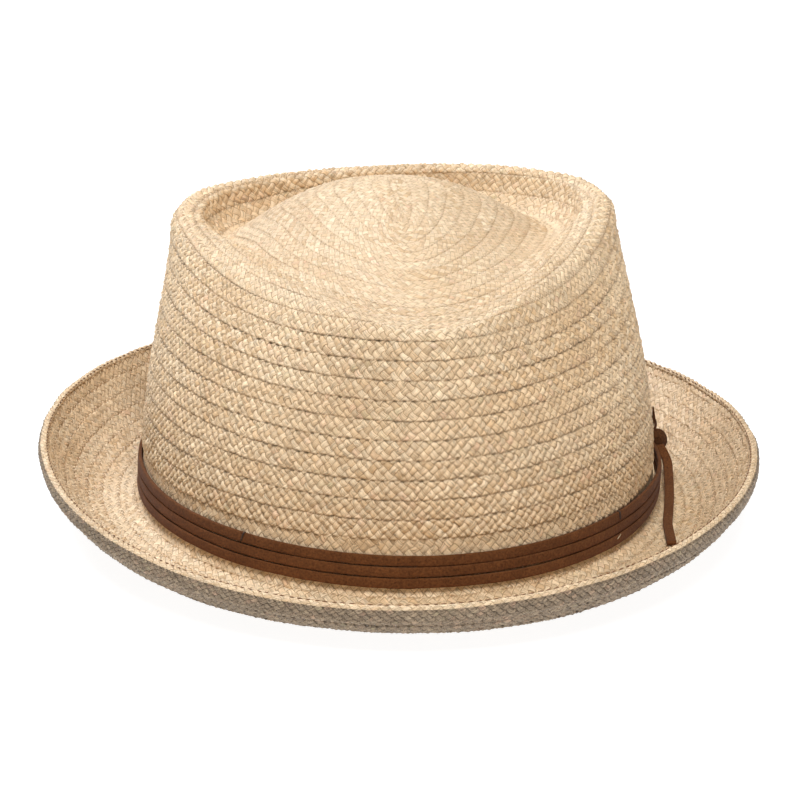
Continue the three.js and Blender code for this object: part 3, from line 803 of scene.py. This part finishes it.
def edge_fold(name, parts):
    """The folded edge row: the section's points stand on the rim's middle line, outward along the
    brim and up from it, and are moved out along the section's own normal by the weave."""
    fine, edge, up, outward = rim_frame(0.125)
    fine = np.append(fine, 360)
    middle = edge - up * STRAW_WALL / 2
    length = length_along(closed(middle))
    cells = round(length[-1] / CELL)
    count = cells * parts
    turn = np.interp(np.arange(count) / count * length[-1], length, fine)
    read = lambda t: read_at(turn, fine, closed(t))
    middle, up, outward = read(middle), unit(read(up)), unit(read(outward))
    section, _ = smooth_path(FOLD_SECTION, FOLD_CELLS * parts + 1)
    slope = np.gradient(section, axis=0)
    normal = unit(np.stack([-slope[:, 1], slope[:, 0]], -1))
    v = np.linspace(0, FOLD_CELLS * CELL, len(section))[None, :]
    u = (np.arange(count) * CELL / parts)[:, None]
    lip = np.clip(1 - v / 1.8, 0, 1)
    u = u + FOLD_SHEAR * v
    upper = v < FOLD_TURN * FOLD_CELLS * CELL
    height = np.where(upper, 0.5, 0.8) * weave(u, v)
    height = height + 0.06 * waves(u, v, 31, 6, 3, 7)
    height = height - 0.22 * lip * (1 + np.cos(2 * np.pi * u / CELL + np.pi)) ** 2
    wobble = 0.22 * waves(turn[:, None] * 2.4, 0 * v, 33, 6, 12, 60)
    along = section[None, :, 0] + normal[None, :, 0] * height + wobble
    high = section[None, :, 1] + normal[None, :, 1] * height
    points = middle[:, None] + outward[:, None] * along[..., None] + up[:, None] * high[..., None]
    index = np.arange(height.size).reshape(height.shape)
    after = np.roll(index, -1, 0)
    quads = np.stack([index[:, :-1], index[:, 1:], after[:, 1:], after[:, :-1]], -1)
    everywhere = lambda t: np.broadcast_to(t, points.shape[:2])
    low_u, high_u = everywhere(u)[:, :-1], everywhere(u + CELL / parts)[:, :-1]
    low_v, high_v = everywhere(v)[:, :-1], everywhere(v)[:, 1:]
    pairs = ((low_u, low_v), (low_u, high_v), (high_u, high_v), (high_u, low_v))
    plait = np.stack([np.stack(pair, -1) for pair in pairs], 2)
    obj = make_mesh(name, points.reshape(-1, 3), quads.reshape(-1, 4), straw, "brim")
    # Past the fold's turn the faces take the darker straw, as painted shade under the rim.
    obj.data.materials.append(straw_under_shaded)
    below = np.broadcast_to(v[:, :-1] > FOLD_TURN * FOLD_CELLS * CELL, quads.shape[:2])
    obj.data.polygons.foreach_set("material_index", below.astype(np.int32).ravel())
    add_map(obj, "plait", plait)
    shares = np.linspace(0, 1, len(section))
    add_map(obj, "OFBake", lane_map(count, FOLD_LANES, shares, [(0, 0), (0, 1), (1, 1), (1, 0)]))
    print(name, cells, "crossings round,", 2 * quads.size // 4, "triangles")


edge_fold("brim_edge_fold", 4)

# %% [markdown]
# The laces are cut from suede: flat, with soft corners and a fine nap that takes the light evenly
# at any angle. A plain matte colour would look like plastic, so noise at the size of the nap
# varies the tone and lifts the surface a little. The knot lies in its own shade, which is painted
# in as a darker copy of the suede.

# %% Suede and thread materials


def suede_material(name, colour, light):
    """Matte suede: a brown varied by fine and by broad noise read at the place on the object, very
    rough, with a little sheen, and bump from the fine noise."""
    n = Nodes(name)
    place = n.add("ShaderNodeTexCoord", output=3)
    nap = n.noise(place, 1500.0, 3.0, 0.7)
    patch = n.noise(place, 120.0, 3.0)
    share = n.maths("MULTIPLY", n.between(nap, -0.7, 2.1), n.between(patch, 0.4, 1.2))
    tone = n.mix(share, colour, light)
    bump = n.add("ShaderNodeBump", [("Strength", 0.55), ("Distance", 0.0003), ("Height", nap)])
    sheen = [("Sheen Weight", 0.05), ("Sheen Roughness", 0.5)]
    return n.principled(tone, 0.92, [("Normal", bump), ("Specular IOR Level", 0.08), *sheen])


suede = suede_material("suede_lace", (0.050, 0.017, 0.0055, 1), (0.165, 0.062, 0.021, 1))
# The knot's darker copy of the suede is painted shade, for the shade it lies in.
suede_knot_shaded = suede_material("suede_knot_shaded", (0.030, 0.011, 0.0045, 1), (0.105, 0.042, 0.016, 1))
thread = Nodes("thread").principled((0.55, 0.45, 0.32, 1), 0.6)
dark_thread = Nodes("dark_thread").principled((0.035, 0.016, 0.008, 1), 0.7)
# The rim's thread is dark: thread colour in part, and painted shade of the seam's notches in part.
rim_thread_notch_shade = Nodes("rim_thread_notch_shade").principled((0.20, 0.095, 0.038, 1), 0.7)
fibre_material = Nodes("loose_fibre").principled((0.78, 0.62, 0.40, 1), 0.5)
print("materials:", [material.name for material in bpy.data.materials])

# %% [markdown]
# One long lace goes round the crown three times. It is swept here as three closed bands, each with
# a rounded section that follows the wall. Towards the knot on the wearer's left the three are
# drawn together and partly over each other.

# %% Laces
LACE_WIDE = 3.2
LACE_THICK = 1.3
LACE_GAP = 0.3
LACE_FOOT = 6.1
LACE_LIFT = 0.9
SQUEEZE = 0.45
KNOT_TURN = 100
KNOT_REACH = 26
KNOT = 3.5
LACE_MIDDLE = LACE_FOOT + 1.5 * (LACE_WIDE + LACE_GAP)
SECTION_STEPS = 16


def wall_at(turn, height):
    """Place, round and outward direction on the crown's wall at a height over each turn."""
    fine = np.atleast_1d(np.asarray(turn, float))
    line = bend(*guides(fine)[:3], np.linspace(0, 1, 60))
    z = line[..., 2]
    wanted = np.broadcast_to(height, fine.shape)[:, None]
    place = line_at(wanted, z, line)[:, 0]
    above = line_at(wanted + 0.5, z, line)[:, 0]
    beside_line = bend(*guides(fine + 0.2)[:3], np.linspace(0, 1, 60))
    beside = line_at(wanted, beside_line[..., 2], beside_line)[:, 0]
    round_way = unit(beside - place)
    return place, round_way, unit(np.cross(round_way, above - place))


def axes_at(turn, height):
    """A place on the wall, and there the round, the outward and the upward direction."""
    place, round_way, out = (t[0] for t in wall_at(turn, height))
    up = unit(np.cross(out, round_way))
    return place, (round_way, out, up * np.sign(up[2]))


def ring_faces(here, after):
    """Quads between each ring of vertex numbers and the one after it."""
    return np.stack([here, np.roll(here, -1, -1), np.roll(after, -1, -1), after], -1).reshape(-1, 4)


def band(name, node, centre, across, face, wide, thick, joined=False, material=suede):
    """A lace swept along a line: at each point a rounded rectangle of the given width along
    across and thickness along face. The corners come from cosines and sines raised to a low
    power. Open ends are closed by a flat cap of quads that share the section's vertices."""
    angle = 2 * np.pi * np.arange(SECTION_STEPS) / SECTION_STEPS
    squared = lambda t: np.sign(t) * np.abs(t) ** 0.42
    aside, out = squared(np.cos(angle)), squared(np.sin(angle))
    count = len(centre)
    wide = np.broadcast_to(wide, (count,))[:, None, None]
    thick = np.broadcast_to(thick, (count,))[:, None, None]
    sideways = across[:, None] * (aside[None, :, None] * wide / 2)
    ring = sideways + face[:, None] * (out[None, :, None] * thick / 2)
    points = (centre[:, None] + ring).reshape(-1, 3)
    index = np.arange(count * SECTION_STEPS).reshape(count, SECTION_STEPS)
    here, after = (index, np.roll(index, -1, 0)) if joined else (index[:-1], index[1:])
    quads = ring_faces(here, after)
    if not joined:
        half = SECTION_STEPS // 2
        k = np.arange(half - 1)
        cap = np.stack([k, k + 1, SECTION_STEPS - 2 - k, SECTION_STEPS - 1 - k], -1)
        quads = np.concatenate([quads, index[0][cap][:, ::-1], index[-1][cap]])
    flip = np.sum(np.cross(across[0], face[0]) * (centre[1] - centre[0])) < 0
    return make_mesh(name, points, quads[:, ::-1] if flip else quads, material, node)


def lace(node, number, seed):
    """One turn of the lace: its height, its distance from the wall and its width change as the
    laces are drawn together at the knot, and it wanders by about a tenth of a millimetre."""
    turn = np.arange(0, 360, 0.75)
    pull = np.exp(-(((turn - KNOT_TURN) / KNOT_REACH) ** 2))
    pitch = LACE_WIDE + LACE_GAP
    squeeze = 1 - SQUEEZE * pull
    wander = 0.10 * waves(turn * 1.6, 0 * turn, seed, 5, 18, 90)
    height = LACE_MIDDLE + (number - 1) * pitch * squeeze + wander
    place, round_way, out = wall_at(turn, height)
    up = unit(np.cross(out, round_way))
    offset = LACE_GAP + (LACE_LIFT + 0.4 * number) * pull + LACE_THICK / 2
    lean = np.radians(4 * waves(turn * 1.6, 0 * turn, seed + 5, 4, 25, 120))[:, None]
    across = up * np.cos(lean) + out * np.sin(lean)
    face = out * np.cos(lean) - up * np.sin(lean)
    wide = LACE_WIDE + 0.12 - (1 - squeeze) * pitch
    wide = wide + 0.05 * waves(turn * 1.6, 0 * turn, seed + 9, 5, 10, 40)
    centre = place + out * offset[:, None]
    band(node + "_suede", node, centre, across, face, wide, LACE_THICK, joined=True)
    print("%s: %.0f mm round" % (node, length_along(closed(centre))[-1]))


for number, node in enumerate(["lace_bottom", "lace_middle", "lace_top"]):
    lace(node, number, 41 + 10 * number)

# %% [markdown]
# At the knot the lace is wrapped once over the drawn-in laces. Seen from the front this is a small
# hood with the laces coming out under it, and the loose end leaves below and lies along the brim.
# Each wrap is the same band swept round an oval, leaning back at its top, round a plain core.
# A thin tip of the lace stands up behind the smaller turn.


# %% Knot
def lump(name, node, middle, axes, radii):
    """A rounded body on three given axes: a sphere of rings and sectors, (sin p cos a, sin p sin a,
    cos p), stretched by the radii. Each pole is closed by quads that span two sectors. The axes
    are a left-handed set, so the corners are counted the other way round to face outward."""
    rings, sectors = 14, 22
    polar = np.linspace(0, np.pi, rings + 1)[1:-1]
    around = 2 * np.pi * np.arange(sectors) / sectors
    p, a = np.meshgrid(polar, around, indexing="ij")
    ball = np.stack([np.sin(p) * np.cos(a), np.sin(p) * np.sin(a), np.cos(p)], -1).reshape(-1, 3)
    ball = np.concatenate([ball, [[0, 0, 1], [0, 0, -1]]]) * np.asarray(radii)
    points = middle + ball @ np.asarray(axes)
    index = np.arange(len(polar) * sectors).reshape(len(polar), sectors)
    quads = ring_faces(index[:-1], index[1:])
    first, last = index[0], index[-1]
    pole = np.full(sectors // 2, len(points) - 2)
    top = np.stack([pole, np.roll(first, -2)[::2], first[1::2], first[::2]], -1)
    bottom = np.stack([pole + 1, last[::2], last[1::2], np.roll(last, -2)[::2]], -1)
    make_mesh(name, points, np.concatenate([quads, top, bottom]), suede_knot_shaded, node)


def wrap(name, node, middle, axes, radii, cone, wide, begin, sweep):
    """The lace round part of an oval in the plane of outward and up. It lies on a cone whose
    narrow end points forward along the round direction, so that its face shows from the front."""
    round_way, out, up = axes
    angle = np.radians(begin + np.linspace(0, sweep, 60))
    cosine, sine = np.cos(angle)[:, None], np.sin(angle)[:, None]
    centre = middle + out * cosine * radii[0] + up * sine * radii[1]
    outward = unit(out * cosine / radii[0] + up * sine / radii[1])
    face = unit(outward * math.cos(cone) - round_way * math.sin(cone))
    across = unit(np.cross(unit(np.gradient(centre, axis=0)), face))
    band(name, node, centre, across, face, wide, LACE_THICK, material=suede_knot_shaded)


face_gap = LACE_GAP + LACE_LIFT + LACE_THICK + LACE_GAP
place, axes = axes_at(KNOT_TURN, LACE_MIDDLE + 1.2)
round_way, out, up = axes
knot_middle = place + out * (face_gap + KNOT * 0.75)
core_middle = knot_middle + round_way * 0.5 + up * 0.3
lump("knot_core", "knot", core_middle, axes, (KNOT * 0.62, KNOT * 0.74, KNOT * 0.8))
front_middle = knot_middle - out * 0.5 + up * 0.2
wrap("knot_wrap", "knot", front_middle, axes, (2.55, 2.75), 0.85, 3.6, -48, 250)
back_middle = knot_middle + round_way * 1.7 - out * 0.6
wrap("knot_wrap_back", "knot", back_middle, axes, (2.5, 2.6), 0.1, 2.6, -60, 290)

place, (round_way, out, _) = axes_at(KNOT_TURN + 5.2, LACE_MIDDLE + 3.6)
turn_middle = place + out * (face_gap + KNOT * 0.42 + 1.9) + up * 0.2
turn_axes = (round_way, out, up)
turn_radii = (KNOT * 0.38, KNOT * 0.5, KNOT * 0.66)
lump("knot_turn_core", "knot_turn", turn_middle, turn_axes, turn_radii)
wrap_middle = turn_middle - out * 0.3
wrap("knot_turn_wrap", "knot_turn", wrap_middle, turn_axes, (1.4, 2.4), 0.6, 2.4, -100, 300)

TIP_POINTS = 12
rise = np.linspace(1.6, 6.6, TIP_POINTS)[:, None]
tip_line = turn_middle + up * rise + out * (1.0 - 0.06 * rise)
tip_across, tip_face = (np.tile(way, (TIP_POINTS, 1)) for way in (round_way, out))
tip_wide, tip_thick = np.linspace([1.8, 1.1], [0.9, 0.35], TIP_POINTS).T
tip_sweep = (tip_line, tip_across, tip_face, tip_wide, tip_thick)
band("knot_turn_tip", "knot_turn", *tip_sweep, material=suede_knot_shaded)
print("knot at %.0f, %.0f, %.0f mm" % tuple(knot_middle))

# %% [markdown]
# The loose end hangs from the knot and then lies flat along the brim, with its cut end square. It
# is the one limp piece of the hat. It is swept from where it leaves the knot along a path, whose
# length is measured. A simulated cloth strip would lie much the same, but never twice in the same
# place. A smooth curve through a few bends keeps it where it is seen.

# %% Loose end
TAIL_POINTS = 90
TAIL_BENDS = np.array(
    [
        [1.071, -0.143, 0.086],
        [1.075, -0.06, 0.06],
        [1.058, 0.08, 0.041],
        [1.033, 0.248, 0.034],
        [1.012, 0.376, 0.034],
        [0.999, 0.555, 0.038],
    ]
)
spots = TAIL_BENDS * [CROWN_WIDTH / 2, -CROWN_LENGTH / 2, CROWN_HEIGHT]
from_knot = knot_middle - axes[2] * 0.9 - axes[0] * 0.9 + axes[1] * 0.3
spots = np.concatenate([[from_knot], [spots[0] + [0.4, -2.2, 0.2]], spots[1:]])
tail_line, tail_length = smooth_path(spots, TAIL_POINTS)
number = np.arange(TAIL_POINTS)
flat = np.clip(number / 22 - 0.1, 0, 1)[:, None]
face_up = unit((1 - flat) * np.array([0.3, -1, 0.35]) + flat * np.array([0, 0, 1.0]))
along = unit(np.gradient(tail_line, axis=0))
tail_across = unit(np.cross(along, face_up))
tail_face = unit(np.cross(tail_across, along))
curl = 0.25 * waves(number * 0.8, 0 * number, 77, 4, 14, 50) * np.linspace(0, 1, TAIL_POINTS)
tail_centre = tail_line + tail_across * curl[:, None]
tail_sweep = (tail_centre, tail_across, tail_face, LACE_WIDE, LACE_THICK)
tail = band("lace_end_suede", "lace_end", *tail_sweep)
tuple(float(x) * MM for x in tail_line[0])
print("loose end: %.1f mm" % tail_length)

# %% [markdown]
# Small things that make it look handmade: a stitch here and there that holds the top lace, a row of
# dark stitches that holds the folded edge and also paints in the shade of its notches, a speck of
# thread by the knot, and a few loose straw fibres along the rim and the rows. A hair system would
# be random and heavy. Each thread here is a thin tube along a short curve, and one mesh holds all of
# a kind.


# %% Stitches and loose fibres
def tubes(name, node, lines, radius, material):
    """Thin round threads along lines of the same number of points, all in one mesh. Each point
    carries a ring of six vertices that narrows at both ends."""
    sides = 6
    lines = np.asarray(lines, float)
    along = unit(np.gradient(lines, axis=1))
    helper = np.where(np.abs(along[..., 2:]) < 0.8, [0.0, 0.0, 1.0], [1.0, 0.0, 0.0])
    first = unit(np.cross(along, helper))
    second = np.cross(along, first)
    angle = 2 * np.pi * np.arange(sides) / sides
    share = np.linspace(0, 1, lines.shape[1])
    thin = (radius * np.minimum(1, 0.15 + 6 * np.minimum(share, 1 - share)))[None, :, None, None]
    cosine, sine = np.cos(angle)[:, None], np.sin(angle)[:, None]
    ring = first[:, :, None] * cosine + second[:, :, None] * sine
    points = (lines[:, :, None] + ring * thin).reshape(-1, 3)
    index = np.arange(len(points)).reshape(lines.shape[0], lines.shape[1], sides)
    quads = [ring_faces(index[:, :-1], index[:, 1:])]
    for half in ([0, 1, 2, 3], [0, 3, 4, 5]):
        quads += [index[:, 0][:, half[::-1]], index[:, -1][:, half]]
    make_mesh(name, points, np.concatenate(quads), material, node)


stitches = []
for turn in (-39.0, 52.0):
    place, (round_way, out, up) = axes_at(turn, LACE_MIDDLE + LACE_WIDE + LACE_GAP)
    spots = [(-1.2, LACE_GAP + 0.9), (-0.9, 1.75), (0.4, 1.8), (1.3, 1.7), (1.9, 0.5)]
    line, _ = smooth_path([place + up * a + out * b + round_way * 0.2 * a for a, b in spots], 12)
    stitches.append(line)
tubes("lace_stitches", "lace_top", stitches, 0.32, dark_thread)

# Painted shade in part: the dark stitches also stand for the shade in the notches of the fold's seam.
STITCH_PITCH = 2.75
STITCH_HALF = 0.95
_, edge, edge_up, edge_out = rim_frame(0.25)
seam_line = closed(edge - edge_up * STRAW_WALL / 2 - edge_out * 0.66 + edge_up * 1.72)
seam_length = length_along(seam_line)
number = round(seam_length[-1] / STITCH_PITCH)
rng = np.random.default_rng(5)
middles = (np.arange(number) + rng.uniform(-0.12, 0.12, number)) * seam_length[-1] / number
notch_at = middles[:, None] + np.linspace(-STITCH_HALF, STITCH_HALF, 4)[None, :]
notch_at = np.mod(notch_at, seam_length[-1])
notches = read_at(notch_at, seam_length, seam_line)
slant = read_at(notch_at, seam_length, closed(edge_out))
lean = np.linspace(-0.16, 0.16, 4)[None, :] * rng.uniform(0.6, 1.3, number)[:, None]
tubes("rim_stitches_notch_shade", "brim", notches + slant * lean[..., None], 0.2, rim_thread_notch_shade)
print("stitches round the rim:", number)

speck_place = turn_middle + axes[2] * 2.0 - axes[1] * 0.3 - axes[0] * 1.6
swing = np.linspace(0, 5, 12)[:, None]
bow = speck_place + axes[1] * 0.35 * np.cos(swing) + axes[2] * 0.5 * np.sin(swing)
tubes("knot_thread", "knot_turn", [bow], 0.16, thread)

FIBRES = 60
rng = np.random.default_rng(7)
fibres = []
for row, turn in zip(rng.uniform(-7.3, 14, FIBRES), rng.uniform(0, 360, FIBRES)):
    root, up = on_hat(np.array(turn), np.array(row))
    nearby, _ = on_hat(np.array(turn + 1), np.array(row + rng.uniform(-0.3, 0.3)))
    way = unit(nearby - root) * rng.choice([-1, 1])
    long = rng.uniform(2.5, 6)
    lift = rng.uniform(0.2, 0.9)
    turned = unit(np.cross(way, up)) * rng.uniform(-0.8, 0.8)
    risen = root + way * long * 0.4 + up * (0.5 + lift)
    tip = root + (way + turned * 0.5) * long + up * (0.3 + 2 * lift)
    fibres.append(smooth_path([root + up * 0.2, risen, tip], 8)[0])
tubes("loose_fibres", "crown", fibres, 0.09, fibre_material)
print("loose fibres:", len(fibres))

# %% [markdown]
# A white floor that glows a little fades into the background, as a sweep of paper does in a
# studio, and its glow fills the underside of the brim from below. A large soft light stands in
# front and above, and a cooler one behind on the wearer's right edges the ridge. An image of a
# studio would light it too, but two soft boxes and an even sky are plainer and need no file.

# %% Floor and light
glow = [("Emission Color", (1, 1, 1, 1)), ("Emission Strength", 0.9)]
floor_material = Nodes("floor").principled((0.3, 0.3, 0.3, 1), 0.9, glow)
floor_mesh = bpy.data.meshes.new("floor")
floor_mesh.from_pydata([(-6, -6, 0), (6, -6, 0), (6, 6, 0), (-6, 6, 0)], [], [(0, 1, 2, 3)])
floor_mesh.materials.append(floor_material)
floor = bpy.data.objects.new("floor", floor_mesh)
bpy.context.collection.objects.link(floor)
floor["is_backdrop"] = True

world = bpy.data.worlds.new("studio")
bpy.context.scene.world = world
world.use_nodes = True
world.node_tree.nodes["Background"].inputs["Color"].default_value = (1, 1, 1, 1)
world.node_tree.nodes["Background"].inputs["Strength"].default_value = 0.33


def soft_box(name, place, size, power, colour=(1, 1, 1)):
    """A square area light at a place in metres, turned to face the hat."""
    data = bpy.data.lights.new(name, "AREA")
    data.shape = "SQUARE"
    data.size = size
    data.energy = power
    data.color = colour
    lamp = bpy.data.objects.new(name, data)
    bpy.context.collection.objects.link(lamp)
    lamp.location = place
    lamp.rotation_euler = (Vector((0, 0, 0.05)) - Vector(place)).to_track_quat("-Z", "Y").to_euler()


soft_box("key", (0.03, -0.85, 1.6), 0.7, 27)
soft_box("back", (-0.65, 0.85, 1.35), 0.8, 22, (0.86, 0.95, 1.1))
bpy.context.scene.view_settings.view_transform = "Standard"
print("lights:", [lamp.name for lamp in bpy.data.lights])

# %% [markdown]
# The visual model's sides are compared with the plain model's, and both are kept as plain lists.

# %% Sizes
model_low, model_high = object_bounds()
past = lambda more, less: [round((m - s) / MM, 1) for m, s in zip(more, less)]
print("past the plain model, mm: low", past(cad_low, model_low), "high", past(model_high, cad_high))
